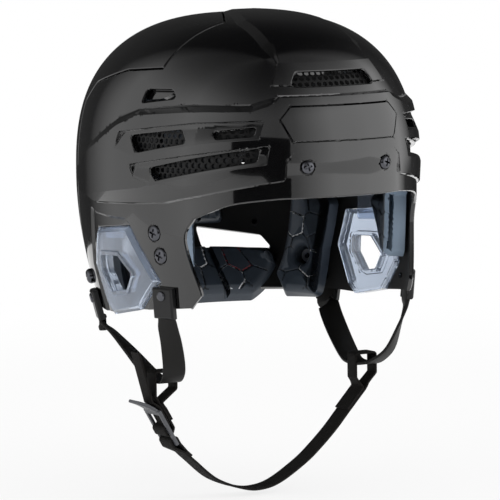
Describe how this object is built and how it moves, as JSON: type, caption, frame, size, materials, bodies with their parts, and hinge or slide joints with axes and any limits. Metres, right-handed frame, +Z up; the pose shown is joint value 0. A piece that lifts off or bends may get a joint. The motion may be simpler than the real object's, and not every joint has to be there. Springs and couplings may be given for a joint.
{
  "type": "ice hockey helmet",
  "caption": "Black ice hockey helmet: size-adjustable front and rear shells, foam liner, vent meshes, clear ear covers, yoke straps and an adjustable chin strap.",
  "frame": {"origin": "middle of the head opening, level with the lower edge of the brow", "axes": "+Z up towards the crown, -Y towards the wearer's face, +X towards the wearer's left"},
  "size_m": [0.216, 0.2751, 0.328],
  "materials": {
    "shell": "smooth injection-moulded black plastic",
    "badge": "smooth black plastic plate, bare",
    "ear_plastic": "clear plastic with a faint blue tint",
    "vent_mesh": "fine moulded honeycomb screen",
    "screw_metal": "black-coated steel",
    "nut_metal": "plated steel",
    "foam": "slate foam with a printed hexagon line pattern",
    "clip_plastic": "dark moulded plastic",
    "yoke_webbing": "smooth black strap",
    "chin_webbing": "woven black webbing",
    "buckle_plastic": "grey moulded plastic"
  },
  "bodies": {
    "shell": {"front_shell": "shell", "brow_plate": "badge", "brow_screws": "screw_metal", "brow_nuts": "nut_metal", "side_screws": "screw_metal", "side_nuts": "nut_metal", "front_vent_mesh": "vent_mesh", "vent_mesh_right": "vent_mesh", "vent_mesh_left": "vent_mesh", "ear_cover_right": "ear_plastic", "ear_cover_left": "ear_plastic", "front_pad": "foam", "temple_pad_right": "foam", "temple_pad_left": "foam", "side_pad_right": "foam", "side_pad_left": "foam", "strap_rivets": "nut_metal", "front_strap_clips": "clip_plastic", "rear_strap_clips": "clip_plastic", "yoke_strap_right": "yoke_webbing", "yoke_strap_left": "yoke_webbing"},
    "rear": {"rear_shell": "shell", "size_lock_screws": "screw_metal", "size_lock_nuts": "nut_metal", "crown_pad": "foam", "rear_centre_pad": "foam", "occipital_pad": "foam", "rear_side_pad_right": "foam", "rear_side_pad_left": "foam", "rear_rivets": "nut_metal"},
    "chin": {"chin_strap": "chin_webbing", "adjuster_strap": "chin_webbing", "buckle": "buckle_plastic"}
  },
  "joints": [
    {"name": "size_slide", "type": "slide", "parent": "shell", "child": "rear", "axis": [0, 1, 0], "range_m": [0, 0.008]},
    {"name": "chin_strap_swing", "type": "hinge", "parent": "shell", "child": "chin", "pos_m": [0, -0.017, -0.1335], "axis": [1, 0, 0], "range_deg": [-25, 25]}
  ]
}
